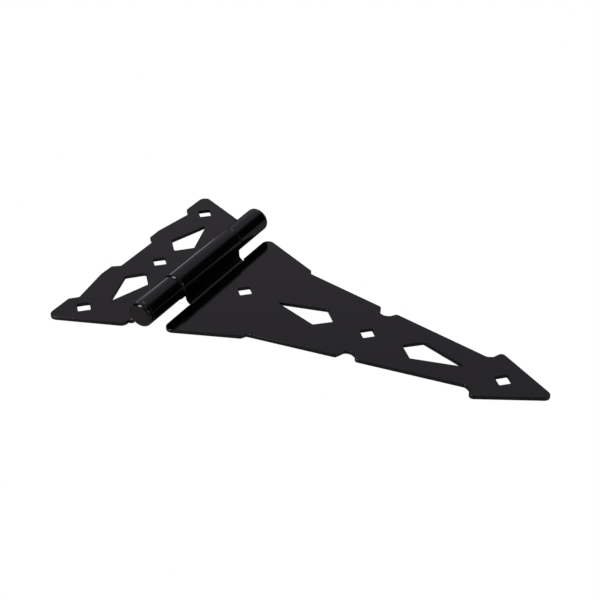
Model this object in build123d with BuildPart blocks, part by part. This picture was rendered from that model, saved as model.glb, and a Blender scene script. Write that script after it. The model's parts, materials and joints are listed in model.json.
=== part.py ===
from build123d import *
import os

# Ornamental tee hinge, 10 inch pattern, made from black coated sheet steel.
# Frame: millimetres, +Z up. The backs of both leaves lie on Z = 0, the pin runs along Y above
# the origin, the strap leaf points to +X and the tee leaf lies to -X.

# ---- driving dimensions ----
SHEET = 2.4                 # thickness of both leaves
AXIS_Z = SHEET + 10.3       # height of the pin's axis above the backs of the leaves
ROOT_BEND = 4.0             # inside radius where a knuckle's tab turns up out of its leaf
ROLL_END_ANGLE = 308        # how far round the pin each tab is rolled, from the +X side
EDGE_ROLL = 0.45            # rounding that stamping and coating leave on a front edge
KNUCKLE_EDGE = 1.5          # rounding of the centre knuckle's two ends
BEVEL = 0.4                 # small break on the turned parts and the tee knuckles' ends

PIN_RADIUS = 6.35           # half-inch pin
RUNNING_GAP = 0.05          # radial clearance round the pin
BUSHING_WALL = 0.7
BUSHING_SEAT_GAP = 0.01     # radial gap between a bushing and the rolled knuckle
FLANGE_THICKNESS = 0.7
FLANGE_RADIUS = 8.4
END_PLAY = 0.1              # axial gap between a bushing's flange and a tee knuckle

BUSHING_BORE = PIN_RADIUS + RUNNING_GAP
TEE_KNUCKLE_RADIUS = PIN_RADIUS + RUNNING_GAP + SHEET
STRAP_KNUCKLE_RADIUS = BUSHING_BORE + BUSHING_WALL + BUSHING_SEAT_GAP + SHEET
STRAP_KNUCKLE_HALF = 34.6   # half the length of the centre knuckle
STRAP_TAB_HALF = 31.0       # half the width of its tab, where it leaves the leaf
TAB_SHOULDER = STRAP_KNUCKLE_HALF - STRAP_TAB_HALF      # rounding where the tab widens
TEE_KNUCKLE_START = STRAP_KNUCKLE_HALF + FLANGE_THICKNESS + END_PLAY
TEE_KNUCKLE_END = 67.8

HEAD_THICKNESS = 4.0        # pin head and end cap, both of knuckle diameter
CAP_THICKNESS = 2.4
HEAD_ROUND = 2.2
CAP_ROUND = 1.7
HEAD_END = TEE_KNUCKLE_END + HEAD_THICKNESS
CAP_END = TEE_KNUCKLE_END + CAP_THICKNESS
SPIGOT_RADIUS = 4.0         # reduced end of the pin that the cap is pressed on to
SPIGOT_LENGTH = 1.4
CAP_BORE_GAP = 0.01
BUSHING_LENGTH = 18.0       # sleeve inside the knuckle, without its flange

PIN_AXIS = Axis((0, 0, AXIS_Z), (0, 1, 0))
PIN_PLANE = Plane(origin=(0, 0, AXIS_Z), x_dir=(0, 1, 0), z_dir=(1, 0, 0))

STRAP_ROOT_X = STRAP_KNUCKLE_RADIUS + ROOT_BEND
TEE_ROOT_X = TEE_KNUCKLE_RADIUS + ROOT_BEND
TAB_OVERLAP = 3.0           # flat length that a tab shares with its leaf

BOLT_SQUARE = 8.5           # across the flats, for the square neck of a 5/16 inch carriage bolt
BOLT_CORNER = 0.8
STRAP_MID_X = 129.2         # the strap's pattern is symmetric about its middle bolt hole
STRAP_HOLE_PITCH = 94.8
TEE_SIDE_HOLE = (-47.9, 71.0)
TEE_MID_HOLE_X = -37.4

KITE_BLUNT = 10.4           # from a kite's widest line to its blunt point
KITE_HALF_WIDTH = 9.8
KITE_CORNER = 1.3
STRAP_KITE_SHARP = 33.4     # from the widest line to the sharp point
TEE_KITE_SHARP = 29.4
STRAP_KITE_OFFSET = 35.5    # widest line, from the strap's middle bolt hole
TEE_KITE_X = -37.0
TEE_KITE_Y = 27.3

STRAP_BOLTS = [(STRAP_MID_X + step * STRAP_HOLE_PITCH, 0) for step in (-1, 0, 1)]
TEE_BOLTS = [
    TEE_SIDE_HOLE,
    (TEE_MID_HOLE_X, 0),
    (TEE_SIDE_HOLE[0], -TEE_SIDE_HOLE[1]),
]
# kites: X and Y of the widest line, and the turn from a blunt point at +X
STRAP_KITES = [
    (STRAP_MID_X - STRAP_KITE_OFFSET, 0, 0),
    (STRAP_MID_X + STRAP_KITE_OFFSET, 0, 180),
]
TEE_KITES = [
    (TEE_KITE_X, TEE_KITE_Y, -90),
    (TEE_KITE_X, -TEE_KITE_Y, 90),
]

# Half outlines at +Y: X, Y and corner radius, going round from the pin side.
STRAP_HALF = [
    (STRAP_ROOT_X, STRAP_TAB_HALF + 0.9, 0.8),   # bend relief beside the tab
    (11.3, STRAP_TAB_HALF + 2.2, 0.8),
    (11.3, 65.3, 5.0),                           # wide end's corner
    (60.3, 44.8, 1.5),                           # small step
    (62.2, 41.2, 1.5),
    (122.7, 30.9, 2.2),                          # notch beside the middle bolt hole
    (125.5, 24.2, 2.5),
    (STRAP_MID_X, 23.0, 3.0),
    (133.0, 24.5, 2.5),
    (135.6, 28.6, 2.5),
    (205.8, 16.6, 3.0),                          # barb behind the tip
    (209.3, 18.4, 2.2),
    (212.3, 25.4, 3.0),
]
STRAP_TIP = (258.6, 3.9)    # where the tip's edges would meet, and its rounding

TEE_HALF = [
    (-TEE_ROOT_X, 72.3, 5.0),
    (-63.1, 92.7, 5.0),                          # outer corner
    (-63.1, 68.6, 2.0),
    (-58.1, 63.5, 1.2),
    (-63.2, 33.5, 8.0),                          # lobe
    (-63.0, 22.3, 2.5),
    (-57.7, 18.3, 1.2),
]


def both_sides(half, tip=None):
    """A closed list of corners from its +Y half, with an optional corner on the centre line."""
    centre = [] if tip is None else [(tip[0], 0, tip[1])]
    return half + centre + [(x, -y, r) for x, y, r in reversed(half)]


def corner_loop(corners):
    """Draws a closed outline of straight lines with rounded corners in the open line builder."""
    FilletPolyline(*[(x, y) for x, y, r in corners], radius=[r for x, y, r in corners], close=True)


def kite(sharp):
    """Kite-shaped cut-out: widest line on Y, blunt point at +X and sharp point at -X."""
    with BuildSketch() as cut:
        with BuildLine():
            corner_loop([
                (KITE_BLUNT, 0, KITE_CORNER),
                (0, KITE_HALF_WIDTH, KITE_CORNER),
                (-sharp, 0, KITE_CORNER / 2),
                (0, -KITE_HALF_WIDTH, KITE_CORNER),
            ])
        make_face()
    return cut.sketch


def diamond():
    """Square bolt hole turned by 45 degrees."""
    with BuildSketch() as cut:
        RectangleRounded(BOLT_SQUARE, BOLT_SQUARE, BOLT_CORNER, rotation=45)
    return cut.sketch


def rolled_section(radius):
    """Section of a tab that rises from a leaf at +X, goes over the pin and closes underneath."""
    inner = radius - SHEET
    root_x = radius + ROOT_BEND
    bend_centre = (root_x, SHEET + ROOT_BEND)
    with BuildSketch(Plane.XZ) as section:
        with BuildLine():
            Line((root_x + TAB_OVERLAP, 0), (root_x, 0))
            CenterArc(bend_centre, SHEET + ROOT_BEND, 180, 90)
            Line((inner, SHEET + ROOT_BEND), (inner, AXIS_Z))
            inside = CenterArc((0, AXIS_Z), inner, 0, ROLL_END_ANGLE)
            outside = CenterArc((0, AXIS_Z), radius, 0, ROLL_END_ANGLE)
            Line(inside @ 1, outside @ 1)
            Line((radius, AXIS_Z), (radius, SHEET + ROOT_BEND))
            CenterArc(bend_centre, ROOT_BEND, 180, 90)
            Line((root_x, SHEET), (root_x + TAB_OVERLAP, SHEET))
            Line((root_x + TAB_OVERLAP, SHEET), (root_x + TAB_OVERLAP, 0))
        make_face()
    return section.sketch


def blank(corners, bolts, kites, sharp):
    """A flat leaf with its bolt holes and kites stamped out and its front edges rounded."""
    with BuildPart() as leaf:
        with BuildSketch():
            with BuildLine():
                corner_loop(corners)
            make_face()
            with Locations(*bolts):
                add(diamond(), mode=Mode.SUBTRACT)
            with Locations(*[Location((x, y, 0), (0, 0, turn)) for x, y, turn in kites]):
                add(kite(sharp), mode=Mode.SUBTRACT)
        extrude(amount=SHEET)
        front = faces().filter_by(Axis.Z).sort_by(Axis.Z)[-1]
        fillet(front.edges(), radius=EDGE_ROLL)
    return leaf.part


# ---- strap leaf, with the centre knuckle ----
with BuildPart() as strap_knuckle:
    with BuildSketch(Plane.XZ):
        add(rolled_section(STRAP_KNUCKLE_RADIUS))
    extrude(amount=STRAP_KNUCKLE_HALF, both=True)
    # its tab is narrower, with a round shoulder under each end of the knuckle
    with BuildSketch(Plane.YZ.offset(STRAP_KNUCKLE_RADIUS - SHEET - BEVEL)):
        with BuildLine():
            shoulder = CenterArc((STRAP_KNUCKLE_HALF, AXIS_Z - TAB_SHOULDER), TAB_SHOULDER, 90, 90)
            Polyline(
                shoulder @ 1,
                (STRAP_TAB_HALF, -SHEET),
                (STRAP_KNUCKLE_HALF + SHEET, -SHEET),
                (STRAP_KNUCKLE_HALF + SHEET, AXIS_Z),
                shoulder @ 0,
            )
        make_face()
        mirror(about=Plane.YZ)
    extrude(amount=SHEET + BEVEL + ROOT_BEND + 2 * TAB_OVERLAP, mode=Mode.SUBTRACT)
    rims = edges().filter_by(GeomType.CIRCLE)
    fillet(rims.filter_by(lambda rim: rim.radius > STRAP_KNUCKLE_RADIUS - BEVEL), radius=KNUCKLE_EDGE)

with BuildPart() as strap_leaf:
    add(blank(both_sides(STRAP_HALF, STRAP_TIP), STRAP_BOLTS, STRAP_KITES, STRAP_KITE_SHARP))
    add(strap_knuckle.part)

# ---- tee leaf, with the two outer knuckles ----
with BuildPart() as tee_knuckle:
    with BuildSketch(Plane.XZ.offset(-TEE_KNUCKLE_START)):
        add(rolled_section(TEE_KNUCKLE_RADIUS))
    extrude(amount=TEE_KNUCKLE_START - TEE_KNUCKLE_END)
    rims = edges().filter_by(GeomType.CIRCLE)
    fillet(rims.filter_by(lambda rim: rim.radius > TEE_KNUCKLE_RADIUS - BEVEL), radius=BEVEL)
    mirror(about=Plane.YZ, mode=Mode.REPLACE)

with BuildPart() as tee_leaf:
    add(blank(both_sides(TEE_HALF), TEE_BOLTS, TEE_KITES, TEE_KITE_SHARP))
    add(tee_knuckle.part)
    mirror(tee_knuckle.part, about=Plane.XZ)

# ---- pin, its pressed cap, and the two bushings of the centre knuckle ----
# Half profiles: place along the pin, radius and corner rounding.
with BuildPart() as hinge_pin:
    with BuildSketch(PIN_PLANE):
        with BuildLine():
            corner_loop([
                (-HEAD_END, 0, 0),
                (-HEAD_END, TEE_KNUCKLE_RADIUS, HEAD_ROUND),
                (-TEE_KNUCKLE_END, TEE_KNUCKLE_RADIUS, BEVEL),
                (-TEE_KNUCKLE_END, PIN_RADIUS, 0),
                (TEE_KNUCKLE_END, PIN_RADIUS, 0),
                (TEE_KNUCKLE_END, SPIGOT_RADIUS, 0),
                (TEE_KNUCKLE_END + SPIGOT_LENGTH, SPIGOT_RADIUS, BEVEL),
                (TEE_KNUCKLE_END + SPIGOT_LENGTH, 0, 0),
            ])
        make_face()
    revolve(axis=PIN_AXIS)

with BuildPart() as pin_end_cap:
    with BuildSketch(PIN_PLANE):
        with BuildLine():
            corner_loop([
                (TEE_KNUCKLE_END, SPIGOT_RADIUS + CAP_BORE_GAP, 0),
                (TEE_KNUCKLE_END, TEE_KNUCKLE_RADIUS, BEVEL),
                (CAP_END, TEE_KNUCKLE_RADIUS, CAP_ROUND),
                (CAP_END, 0, 0),
                (TEE_KNUCKLE_END + SPIGOT_LENGTH, 0, 0),
                (TEE_KNUCKLE_END + SPIGOT_LENGTH, SPIGOT_RADIUS + CAP_BORE_GAP, 0),
            ])
        make_face()
    revolve(axis=PIN_AXIS)

with BuildPart() as cap_end_bushing:
    with BuildSketch(PIN_PLANE):
        with BuildLine():
            corner_loop([
                (STRAP_KNUCKLE_HALF - BUSHING_LENGTH, BUSHING_BORE, 0),
                (STRAP_KNUCKLE_HALF - BUSHING_LENGTH, BUSHING_BORE + BUSHING_WALL, 0),
                (STRAP_KNUCKLE_HALF, BUSHING_BORE + BUSHING_WALL, 0),
                (STRAP_KNUCKLE_HALF, FLANGE_RADIUS, 0),
                (STRAP_KNUCKLE_HALF + FLANGE_THICKNESS, FLANGE_RADIUS, 0),
                (STRAP_KNUCKLE_HALF + FLANGE_THICKNESS, BUSHING_BORE, 0),
            ])
        make_face()
    revolve(axis=PIN_AXIS)

with BuildPart() as head_end_bushing:
    mirror(cap_end_bushing.part, about=Plane.XZ)

os.makedirs("parts", exist_ok=True)

tee_leaf.part.label = "tee_leaf"
export_step(tee_leaf.part, "parts/tee_leaf.step")

strap_leaf.part.label = "strap_leaf"
export_step(strap_leaf.part, "parts/strap_leaf.step")

hinge_pin.part.label = "hinge_pin"
export_step(hinge_pin.part, "parts/hinge_pin.step")

pin_end_cap.part.label = "pin_end_cap"
export_step(pin_end_cap.part, "parts/pin_end_cap.step")

head_end_bushing.part.label = "head_end_bushing"
export_step(head_end_bushing.part, "parts/head_end_bushing.step")

cap_end_bushing.part.label = "cap_end_bushing"
export_step(cap_end_bushing.part, "parts/cap_end_bushing.step")
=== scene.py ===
import json
import math

import bpy
from bpy.props import FloatProperty, FloatVectorProperty, PointerProperty
from bpy.types import Operator, Panel, PropertyGroup
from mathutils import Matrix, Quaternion, Vector

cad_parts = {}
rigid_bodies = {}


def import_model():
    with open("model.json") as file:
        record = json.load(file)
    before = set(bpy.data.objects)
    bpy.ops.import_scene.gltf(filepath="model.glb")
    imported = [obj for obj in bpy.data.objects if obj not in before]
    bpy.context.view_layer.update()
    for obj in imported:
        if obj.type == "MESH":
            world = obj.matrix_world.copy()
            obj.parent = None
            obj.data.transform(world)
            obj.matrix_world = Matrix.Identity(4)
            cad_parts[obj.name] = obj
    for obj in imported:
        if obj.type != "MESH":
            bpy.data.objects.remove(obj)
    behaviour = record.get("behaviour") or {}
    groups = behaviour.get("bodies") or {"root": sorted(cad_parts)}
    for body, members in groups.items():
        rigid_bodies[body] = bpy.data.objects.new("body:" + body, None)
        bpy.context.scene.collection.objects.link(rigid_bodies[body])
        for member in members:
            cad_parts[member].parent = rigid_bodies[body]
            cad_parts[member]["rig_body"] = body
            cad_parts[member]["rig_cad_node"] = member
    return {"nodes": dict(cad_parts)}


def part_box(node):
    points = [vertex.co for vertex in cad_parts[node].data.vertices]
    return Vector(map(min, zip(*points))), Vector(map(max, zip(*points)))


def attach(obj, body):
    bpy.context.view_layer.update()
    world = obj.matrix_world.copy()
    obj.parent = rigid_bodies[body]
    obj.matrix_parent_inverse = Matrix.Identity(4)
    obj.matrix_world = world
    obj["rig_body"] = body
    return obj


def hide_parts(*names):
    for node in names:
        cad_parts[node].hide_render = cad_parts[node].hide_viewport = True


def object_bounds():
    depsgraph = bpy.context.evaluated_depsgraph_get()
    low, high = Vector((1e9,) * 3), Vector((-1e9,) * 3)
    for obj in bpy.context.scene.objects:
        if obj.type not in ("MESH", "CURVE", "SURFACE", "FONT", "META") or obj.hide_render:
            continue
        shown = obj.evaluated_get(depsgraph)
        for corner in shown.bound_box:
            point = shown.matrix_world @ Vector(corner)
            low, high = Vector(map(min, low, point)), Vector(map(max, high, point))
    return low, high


bl_info = {
    "name": "Ornamental tee hinge",
    "version": (1, 0, 0),
    "blender": (4, 5, 0),
    "location": "3D View > Sidebar > Tee hinge",
    "description": "Finishes the leaves, pin and bushings of a black tee hinge and sets its studio",
    "category": "Object",
}

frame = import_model()
cad_low, cad_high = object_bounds()

MM = 0.001

pin_low, pin_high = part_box("hinge_pin")
PIN_AXIS = Vector((0, 0, (pin_low.z + pin_high.z) / 2))

# ---- meshes ----
WELD = 0.001 * MM                       # corners of neighbouring faces nearer than this are one
FLAT_ANGLE = math.radians(0.4)          # faces that meet within this angle are one flat
SHARP_ANGLE = math.radians(35)          # edges that turn by more than this are sharp
ROUND_SEGMENTS = 3                      # facets across a rounded edge
MOULDED_EDGE = 0.1 * MM                 # rounding of a bushing's edges

# ---- finishes: each pair of roughnesses goes with the low and the high end of NOISE_SPAN ----
NOISE_SPAN = (0.3, 0.7)                 # where most values of a noise pattern lie
COAT_IOR = 1.5
COAT_ROUGHNESS = (0.06, 0.10)
CLOUD_SIZE = 25 * MM                    # clouds that handling leaves in the gloss
RUBBED_ROUGHNESS = 0.14                 # added where an edge has been rubbed
RUBBED_REACH = 0.7 * MM                 # how far an edge's rubbing reaches
RUBBED_TURN = (0.99, 0.80)              # cosine of the turn at which rubbing starts and is full
PATCH_SIZE = 9 * MM                     # rubbed and whole stretches along an edge
PATCH_SPAN = (0.45, 0.65)
TURNED_ROUGHNESS = (0.06, 0.11)
TOOL_MARK_DEPTH = 0.0006 * MM
WAVE_RATE = 20                          # radians per metre of a wave pattern at scale 1
ACETAL_IOR = 1.48
ACETAL_ROUGHNESS = (0.34, 0.46)
GRAIN_SIZE = 0.35 * MM
GRAIN_DEPTH = 0.004 * MM

# ---- studio: azimuths are degrees from +Y towards +X, elevations degrees above the floor ----
WHITE = "#FFFFFF"
FLOOR_SIZE = 8.0
FLOOR_GAP = 0.05 * MM                   # between the floor and the leaves' backs
PAPER = "#B0AAAB"
# colour of the paper where its painted shade is full, seen only in reflections
PAINTED_SHADE_PAPER = "#4A4647"
PAINTED_SHADE_SIDE = -46                       # azimuth towards which painted shade darkens the paper
PAINTED_SHADE_SPAN = (0.086, 0.156)            # metres from the aim where the painted shade starts and ends
WALL_TINT = (1.0, 0.93, 1.03, 1.0)
WALL_FOOT = 0.3                         # share of the walls' radiance at their foot
WALL_FOOT_TOP = 0.22                    # sine of the elevation where it is full
# azimuth, elevation, outer and inner radius of a dark flag, and the share of light it lets by
FLAGS = (
    (45, 15, 48, 24, 0.036),
    (138, 10, 60, 30, 0.35),
    (-112, 18, 42, 24, 0.06),
)
# name, azimuth, elevation, distance, width, height, radiance
SOFTBOXES = (
    ("back_softbox", -54, 6, 1.2, 0.24, 0.14, 1.35),
    ("front_softbox", -149, 33, 1.0, 0.28, 0.80, 9.5),
    ("side_softbox", 92, 27, 1.0, 0.30, 0.35, 2.5),
)


def linear(hex_colour):
    """Linear RGBA from an sRGB hex colour such as #1C1B1D."""
    channels = [int(hex_colour[i:i + 2], 16) / 255 for i in (1, 3, 5)]
    return [c / 12.92 if c <= 0.04045 else ((c + 0.055) / 1.055) ** 2.4 for c in channels] + [1.0]


def node(tree, kind, settings=None, values=None, links=None):
    """Adds a node with its settings, its sockets' values and the links into it."""
    made = tree.nodes.new(kind)
    for name, value in (settings or {}).items():
        setattr(made, name, value)
    for name, value in (values or {}).items():
        made.inputs[name].default_value = value
    for name, source in (links or {}).items():
        tree.links.new(source, made.inputs[name])
    return made


def empty_material(name):
    """A material without nodes, and its tree."""
    material = bpy.data.materials.new(name)
    material.use_nodes = True
    material.node_tree.nodes.clear()
    return material, material.node_tree


class CoatSettings(PropertyGroup):
    """Sizes and colours of the black finish."""

    paint: FloatVectorProperty(
        name="Paint", description="Colour of the black powder coat", subtype="COLOR", size=4,
        min=0, max=1, default=linear("#060506"))
    worn_paint: FloatVectorProperty(
        name="Rubbed paint", description="Colour of the coat where edges have been rubbed",
        subtype="COLOR", size=4, min=0, max=1, default=linear("#19181A"))
    acetal: FloatVectorProperty(
        name="Acetal", description="Colour of the bushings' black acetal", subtype="COLOR", size=4,
        min=0, max=1, default=linear("#101011"))
    edge_round: FloatProperty(
        name="Edge rounding", description="Rounding that the coat leaves on a cut edge",
        unit="LENGTH", subtype="DISTANCE", default=0.22 * MM, min=0.05 * MM, max=0.4 * MM)
    peel_size: FloatProperty(
        name="Orange peel", description="Distance between the ripples of the powder coat",
        unit="LENGTH", subtype="DISTANCE", default=2.2 * MM, min=0.5 * MM, max=5 * MM)
    peel_depth: FloatProperty(
        name="Peel depth", description="Height of the powder coat's ripples",
        unit="LENGTH", subtype="DISTANCE", default=0.003 * MM, min=0, max=0.02 * MM)
    tool_pitch: FloatProperty(
        name="Tool marks", description="Distance between the turning marks on the pin's ends",
        unit="LENGTH", subtype="DISTANCE", default=0.5 * MM, min=0.1 * MM, max=2 * MM)


class StudioSettings(PropertyGroup):
    """The camera and the lights."""

    aim: FloatVectorProperty(
        name="Aim", description="Point that the camera looks at", subtype="TRANSLATION",
        default=(0.0779, 0.0003, 0.0100))
    azimuth: FloatProperty(
        name="Azimuth", description="Camera's turn to the right of straight in front",
        subtype="ANGLE", default=math.radians(31.16))
    elevation: FloatProperty(
        name="Elevation", description="Camera's height angle", subtype="ANGLE",
        default=math.radians(34.74))
    roll: FloatProperty(
        name="Roll", description="Camera's tilt about its own view", subtype="ANGLE",
        default=math.radians(-0.196))
    distance: FloatProperty(
        name="Distance", description="From the camera to its aim", unit="LENGTH",
        subtype="DISTANCE", default=0.809, min=0.1)
    lens: FloatProperty(
        name="Lens", description="Focal length in millimetres", unit="CAMERA", default=73.3, min=10)
    dome: FloatProperty(
        name="Dome", description="Radiance of the studio's white walls", default=0.33, min=0)


def peel_nodes(tree, coordinates, size, depth):
    """Soft ripples of a powder coat that has flowed and set: their normal and their height."""
    height = node(
        tree, "ShaderNodeTexNoise",
        values={"Scale": 1 / size, "Detail": 2.0, "Roughness": 0.45},
        links={"Vector": coordinates},
    ).outputs["Fac"]
    normal = node(
        tree, "ShaderNodeBump", values={"Strength": 1.0, "Distance": depth},
        links={"Height": height},
    ).outputs["Normal"]
    return normal, height


def black_powder_coat(settings):
    """Powder coat on sheet steel: deep gloss black, faint ripples, rubbed duller on its edges."""
    material, tree = empty_material("black_powder_coat_on_sheet_steel")
    place = node(tree, "ShaderNodeTexCoord").outputs["Object"]
    peel, _ = peel_nodes(tree, place, settings.peel_size, settings.peel_depth)

    # edges: where the true face turns away from a widely rounded one
    true_face = node(tree, "ShaderNodeNewGeometry").outputs["Normal"]
    wide_face = node(
        tree, "ShaderNodeBevel", {"samples": 6}, {"Radius": RUBBED_REACH},
    ).outputs["Normal"]
    together = node(
        tree, "ShaderNodeVectorMath", {"operation": "DOT_PRODUCT"},
        links={0: true_face, 1: wide_face},
    ).outputs["Value"]
    edge = node(
        tree, "ShaderNodeMapRange", {"interpolation_type": "SMOOTHSTEP"},
        {"From Min": RUBBED_TURN[0], "From Max": RUBBED_TURN[1]}, {"Value": together},
    ).outputs["Result"]
    patches = node(
        tree, "ShaderNodeTexNoise",
        values={"Scale": 1 / PATCH_SIZE, "Detail": 4.0, "Roughness": 0.6},
        links={"Vector": place},
    ).outputs["Fac"]
    broken = node(
        tree, "ShaderNodeMapRange", {"interpolation_type": "SMOOTHSTEP"},
        {"From Min": PATCH_SPAN[0], "From Max": PATCH_SPAN[1]}, {"Value": patches},
    ).outputs["Result"]
    worn = node(
        tree, "ShaderNodeMath", {"operation": "MULTIPLY"}, links={0: edge, 1: broken},
    ).outputs["Value"]
    colour = node(
        tree, "ShaderNodeMix", {"data_type": "RGBA"}, {6: settings.paint, 7: settings.worn_paint},
        {"Factor": worn},
    ).outputs[2]

    # handling leaves broad, barely duller clouds in the gloss
    clouds = node(
        tree, "ShaderNodeTexNoise", values={"Scale": 1 / CLOUD_SIZE, "Detail": 3.0},
        links={"Vector": place},
    ).outputs["Fac"]
    gloss = node(
        tree, "ShaderNodeMapRange",
        values={"From Min": NOISE_SPAN[0], "From Max": NOISE_SPAN[1],
                "To Min": COAT_ROUGHNESS[0], "To Max": COAT_ROUGHNESS[1]},
        links={"Value": clouds},
    ).outputs["Result"]
    roughness = node(
        tree, "ShaderNodeMath", {"operation": "MULTIPLY_ADD"}, {1: RUBBED_ROUGHNESS},
        {0: worn, 2: gloss},
    ).outputs["Value"]
    shader = node(
        tree, "ShaderNodeBsdfPrincipled", values={"IOR": COAT_IOR},
        links={"Base Color": colour, "Roughness": roughness, "Normal": peel},
    )
    node(tree, "ShaderNodeOutputMaterial", links={"Surface": shader.outputs["BSDF"]})
    return material


def coated_turned_steel(settings):
    """Thin black coat over turned steel: a little glossier, with faint rings from the lathe."""
    material, tree = empty_material("black_coated_turned_steel")
    place = node(tree, "ShaderNodeTexCoord").outputs["Object"]
    centred = node(
        tree, "ShaderNodeMapping", values={"Location": -PIN_AXIS}, links={"Vector": place},
    ).outputs["Vector"]
    peel, height = peel_nodes(tree, place, settings.peel_size, settings.peel_depth)
    # rings about the pin's axis
    rings = node(
        tree, "ShaderNodeTexWave",
        {"wave_type": "RINGS", "rings_direction": "Y", "wave_profile": "SIN"},
        {"Scale": math.tau / (WAVE_RATE * settings.tool_pitch), "Distortion": 0.6, "Detail": 2.0,
         "Detail Scale": 1.5},
        {"Vector": centred},
    ).outputs["Fac"]
    turned = node(
        tree, "ShaderNodeBump", values={"Strength": 1.0, "Distance": TOOL_MARK_DEPTH},
        links={"Height": rings, "Normal": peel},
    ).outputs["Normal"]
    gloss = node(
        tree, "ShaderNodeMapRange",
        values={"From Min": NOISE_SPAN[0], "From Max": NOISE_SPAN[1],
                "To Min": TURNED_ROUGHNESS[0], "To Max": TURNED_ROUGHNESS[1]},
        links={"Value": height},
    ).outputs["Result"]
    shader = node(
        tree, "ShaderNodeBsdfPrincipled",
        values={"Base Color": settings.paint, "IOR": COAT_IOR},
        links={"Roughness": gloss, "Normal": turned},
    )
    node(tree, "ShaderNodeOutputMaterial", links={"Surface": shader.outputs["BSDF"]})
    return material


def moulded_acetal(settings):
    """Moulded black acetal: a waxy, duller black than the paint, with a fine eroded texture."""
    material, tree = empty_material("moulded_black_acetal")
    place = node(tree, "ShaderNodeTexCoord").outputs["Object"]
    grain = node(
        tree, "ShaderNodeTexNoise", values={"Scale": 1 / GRAIN_SIZE, "Detail": 3.0},
        links={"Vector": place},
    ).outputs["Fac"]
    bump = node(
        tree, "ShaderNodeBump", values={"Strength": 0.6, "Distance": GRAIN_DEPTH},
        links={"Height": grain},
    ).outputs["Normal"]
    dulled = node(
        tree, "ShaderNodeMapRange",
        values={"From Min": NOISE_SPAN[0], "From Max": NOISE_SPAN[1],
                "To Min": ACETAL_ROUGHNESS[0], "To Max": ACETAL_ROUGHNESS[1]},
        links={"Value": grain},
    ).outputs["Result"]
    shader = node(
        tree, "ShaderNodeBsdfPrincipled",
        values={"Base Color": settings.acetal, "IOR": ACETAL_IOR},
        links={"Roughness": dulled, "Normal": bump},
    )
    node(tree, "ShaderNodeOutputMaterial", links={"Surface": shader.outputs["BSDF"]})
    return material


def only_select(thing):
    """Makes one object the selected and the active one."""
    bpy.ops.object.select_all(action="DESELECT")
    thing.select_set(True)
    bpy.context.view_layer.objects.active = thing


def finished_copy(cad_name, name, body, material, edge_round):
    """A welded copy of a CAD node with rounded edges, which stands for it from then on."""
    only_select(frame["nodes"][cad_name])
    bpy.ops.object.duplicate()
    piece = bpy.context.object
    piece.name = name
    piece.data.name = name
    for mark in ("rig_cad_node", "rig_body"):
        del piece[mark]
    bpy.ops.mesh.customdata_custom_splitnormals_clear()
    bpy.ops.object.mode_set(mode="EDIT")
    bpy.ops.mesh.select_all(action="SELECT")
    bpy.ops.mesh.remove_doubles(threshold=WELD)
    bpy.ops.mesh.dissolve_limited(angle_limit=FLAT_ANGLE)
    bpy.ops.object.mode_set(mode="OBJECT")

    rounding = piece.modifiers.new("rounded_edges", "BEVEL")
    rounding.width = edge_round
    rounding.segments = ROUND_SEGMENTS
    rounding.limit_method = "ANGLE"
    rounding.angle_limit = SHARP_ANGLE
    rounding.miter_outer = "MITER_ARC"
    bpy.ops.object.modifier_apply(modifier=rounding.name)
    bpy.ops.object.shade_smooth_by_angle(angle=SHARP_ANGLE)
    shading = piece.modifiers.new("flat_faces_stay_flat", "WEIGHTED_NORMAL")
    shading.keep_sharp = True
    bpy.ops.object.modifier_apply(modifier=shading.name)

    piece.data.materials.clear()
    piece.data.materials.append(material)
    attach(piece, body)
    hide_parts(cad_name)
    return piece


class TEEHINGE_OT_leaves(Operator):
    """Finish the strap leaf and the tee leaf as powder coated sheet steel"""

    bl_idname = "teehinge.leaves"
    bl_label = "Leaves"

    def execute(self, context):
        coat = context.scene.teehinge_coat
        paint = black_powder_coat(coat)
        for cad_name, body in (("strap_leaf", "door_side"), ("tee_leaf", "post_side")):
            finished_copy(
                cad_name, "coated_" + cad_name, body, paint, coat.edge_round)
        return {"FINISHED"}


class TEEHINGE_OT_pin(Operator):
    """Finish the pin and its pressed cap as coated turned steel"""

    bl_idname = "teehinge.pin"
    bl_label = "Pin and cap"

    def execute(self, context):
        coat = context.scene.teehinge_coat
        steel = coated_turned_steel(coat)
        for cad_name in ("hinge_pin", "pin_end_cap"):
            finished_copy(
                cad_name, "turned_" + cad_name, "post_side", steel,
                coat.edge_round)
        return {"FINISHED"}


class TEEHINGE_OT_bushings(Operator):
    """Finish the two flanged bushings as moulded acetal"""

    bl_idname = "teehinge.bushings"
    bl_label = "Bushings"

    def execute(self, context):
        coat = context.scene.teehinge_coat
        acetal = moulded_acetal(coat)
        for cad_name in ("head_end_bushing", "cap_end_bushing"):
            finished_copy(
                cad_name, "moulded_" + cad_name, "door_side", acetal,
                MOULDED_EDGE)
        return {"FINISHED"}


def direction(azimuth, elevation):
    """Unit vector from the aim, for an azimuth and an elevation in degrees."""
    a, e = math.radians(azimuth), math.radians(elevation)
    return Vector((math.sin(a) * math.cos(e), math.cos(a) * math.cos(e), math.sin(e)))


def softbox(name, azimuth, elevation, distance, width, height, radiance, aim):
    """A soft rectangular light that faces the hinge."""
    bpy.ops.object.select_all(action="DESELECT")
    place = aim + direction(azimuth, elevation) * distance
    bpy.ops.object.light_add(type="AREA", location=place)
    light = bpy.context.object
    light.name = name
    light.rotation_euler = (aim - place).to_track_quat("-Z", "Y").to_euler()
    light.data.shape = "RECTANGLE"
    light.data.size = width
    light.data.size_y = height
    light.data.energy = radiance * math.pi * width * height
    light.visible_camera = False


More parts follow.
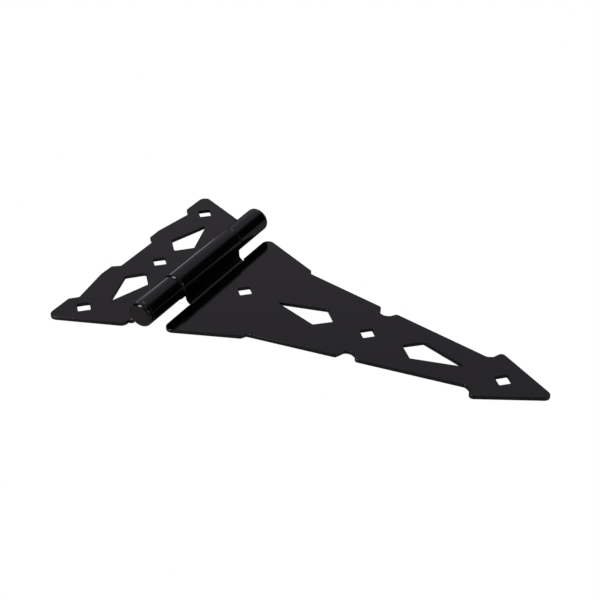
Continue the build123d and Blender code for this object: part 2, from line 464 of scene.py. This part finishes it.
def add_camera(scene, studio, aim):
    """The camera, above the leaves and beyond the pin's head end."""
    bpy.ops.object.select_all(action="DESELECT")
    back = direction(180 - math.degrees(studio.azimuth), math.degrees(studio.elevation))
    bpy.ops.object.camera_add(location=aim + back * studio.distance)
    camera = bpy.context.object
    camera.name = "camera"
    camera.rotation_mode = "QUATERNION"
    turn = (-back).to_track_quat("-Z", "Y")
    camera.rotation_quaternion = turn @ Quaternion((0, 0, 1), studio.roll)
    camera.data.lens = studio.lens
    camera.data.dof.use_dof = False
    scene.camera = camera


def add_floor(aim):
    """Plain white to the eye, and grey paper with painted shade at the back left to everything
    else.
    """
    bpy.ops.object.select_all(action="DESELECT")
    place = (aim.x, aim.y, cad_low.z - FLOOR_GAP)
    bpy.ops.mesh.primitive_plane_add(size=FLOOR_SIZE, location=place)
    floor = bpy.context.object
    floor.name = "floor"
    material, tree = empty_material("white_paper_floor")
    seen = node(tree, "ShaderNodeEmission", values={"Color": linear(WHITE), "Strength": 1.0})
    across = node(
        tree, "ShaderNodeVectorMath", {"operation": "DOT_PRODUCT"}, {1: direction(PAINTED_SHADE_SIDE, 0)},
        {0: node(tree, "ShaderNodeTexCoord").outputs["Object"]},
    ).outputs["Value"]
    # painted shade: the paper's bounce colour goes darker towards the back left
    painted_shade = node(
        tree, "ShaderNodeMapRange", {"interpolation_type": "SMOOTHSTEP"},
        {"From Min": PAINTED_SHADE_SPAN[0], "From Max": PAINTED_SHADE_SPAN[1]}, {"Value": across},
    ).outputs["Result"]
    bounce = node(
        tree, "ShaderNodeMix", {"data_type": "RGBA"}, {6: linear(PAPER), 7: linear(PAINTED_SHADE_PAPER)},
        {"Factor": painted_shade},
    ).outputs[2]
    paper = node(tree, "ShaderNodeBsdfDiffuse", links={"Color": bounce})
    to_eye = node(tree, "ShaderNodeLightPath").outputs["Is Camera Ray"]
    mixed = node(
        tree, "ShaderNodeMixShader",
        links={0: to_eye, 1: paper.outputs["BSDF"], 2: seen.outputs["Emission"]},
    )
    node(tree, "ShaderNodeOutputMaterial", links={"Surface": mixed.outputs["Shader"]})
    floor.data.materials.append(material)


def add_dome(scene, radiance):
    """Even white walls, darker at their foot and behind the flags, and plain white to the eye."""
    world = bpy.data.worlds.new("studio_dome")
    world.use_nodes = True
    tree = world.node_tree
    tree.nodes.clear()
    toward = node(tree, "ShaderNodeTexCoord").outputs["Generated"]
    height = node(tree, "ShaderNodeSeparateXYZ", links={"Vector": toward}).outputs["Z"]
    level = node(
        tree, "ShaderNodeMapRange", {"interpolation_type": "SMOOTHSTEP"},
        {"From Min": 0.0, "From Max": WALL_FOOT_TOP,
         "To Min": WALL_FOOT * radiance, "To Max": radiance},
        {"Value": height},
    ).outputs["Result"]
    for azimuth, elevation, outer, inner, lets_by in FLAGS:
        near = node(
            tree, "ShaderNodeVectorMath", {"operation": "DOT_PRODUCT"},
            {1: direction(azimuth, elevation)}, {0: toward},
        ).outputs["Value"]
        flag = node(
            tree, "ShaderNodeMapRange", {"interpolation_type": "SMOOTHSTEP"},
            {"From Min": math.cos(math.radians(outer)), "From Max": math.cos(math.radians(inner)),
             "To Min": 1.0, "To Max": lets_by},
            {"Value": near},
        ).outputs["Result"]
        level = node(
            tree, "ShaderNodeMath", {"operation": "MULTIPLY"}, links={0: level, 1: flag},
        ).outputs["Value"]
    walls = node(
        tree, "ShaderNodeBackground", values={"Color": WALL_TINT}, links={"Strength": level},
    )
    seen = node(tree, "ShaderNodeBackground", values={"Color": linear(WHITE), "Strength": 1.0})
    to_eye = node(tree, "ShaderNodeLightPath").outputs["Is Camera Ray"]
    mixed = node(
        tree, "ShaderNodeMixShader",
        links={0: to_eye, 1: walls.outputs["Background"], 2: seen.outputs["Background"]},
    )
    node(tree, "ShaderNodeOutputWorld", links={"Surface": mixed.outputs["Shader"]})
    scene.world = world


class TEEHINGE_OT_studio(Operator):
    """Set the camera, a white floor, pale walls with dark flags, and three softboxes"""

    bl_idname = "teehinge.studio"
    bl_label = "Studio"

    def execute(self, context):
        studio = context.scene.teehinge_studio
        aim = Vector(studio.aim)
        add_camera(context.scene, studio, aim)
        context.scene.view_settings.view_transform = "Standard"
        add_floor(aim)
        add_dome(context.scene, studio.dome)
        for name, *numbers in SOFTBOXES:
            softbox(name, *numbers, aim)
        return {"FINISHED"}


class TEEHINGE_PT_panel(Panel):
    """Sizes, colours and steps of the tee hinge"""

    bl_idname = "TEEHINGE_PT_panel"
    bl_label = "Tee hinge"
    bl_space_type = "VIEW_3D"
    bl_region_type = "UI"
    bl_category = "Tee hinge"

    def draw(self, context):
        for group in (context.scene.teehinge_coat, context.scene.teehinge_studio):
            for name in group.__annotations__:
                self.layout.prop(group, name)
        for step in STEPS:
            self.layout.operator(step.bl_idname)


STEPS = (TEEHINGE_OT_studio, TEEHINGE_OT_leaves, TEEHINGE_OT_pin, TEEHINGE_OT_bushings)
CLASSES = (CoatSettings, StudioSettings, *STEPS, TEEHINGE_PT_panel)


def register():
    for cls in CLASSES:
        bpy.utils.register_class(cls)
    bpy.types.Scene.teehinge_coat = PointerProperty(type=CoatSettings)
    bpy.types.Scene.teehinge_studio = PointerProperty(type=StudioSettings)


def unregister():
    del bpy.types.Scene.teehinge_studio
    del bpy.types.Scene.teehinge_coat
    for cls in reversed(CLASSES):
        bpy.utils.unregister_class(cls)


def main():
    register()
    bpy.ops.teehinge.studio()
    bpy.ops.teehinge.leaves()
    bpy.ops.teehinge.pin()
    bpy.ops.teehinge.bushings()


if __name__ == "__main__":
    main()
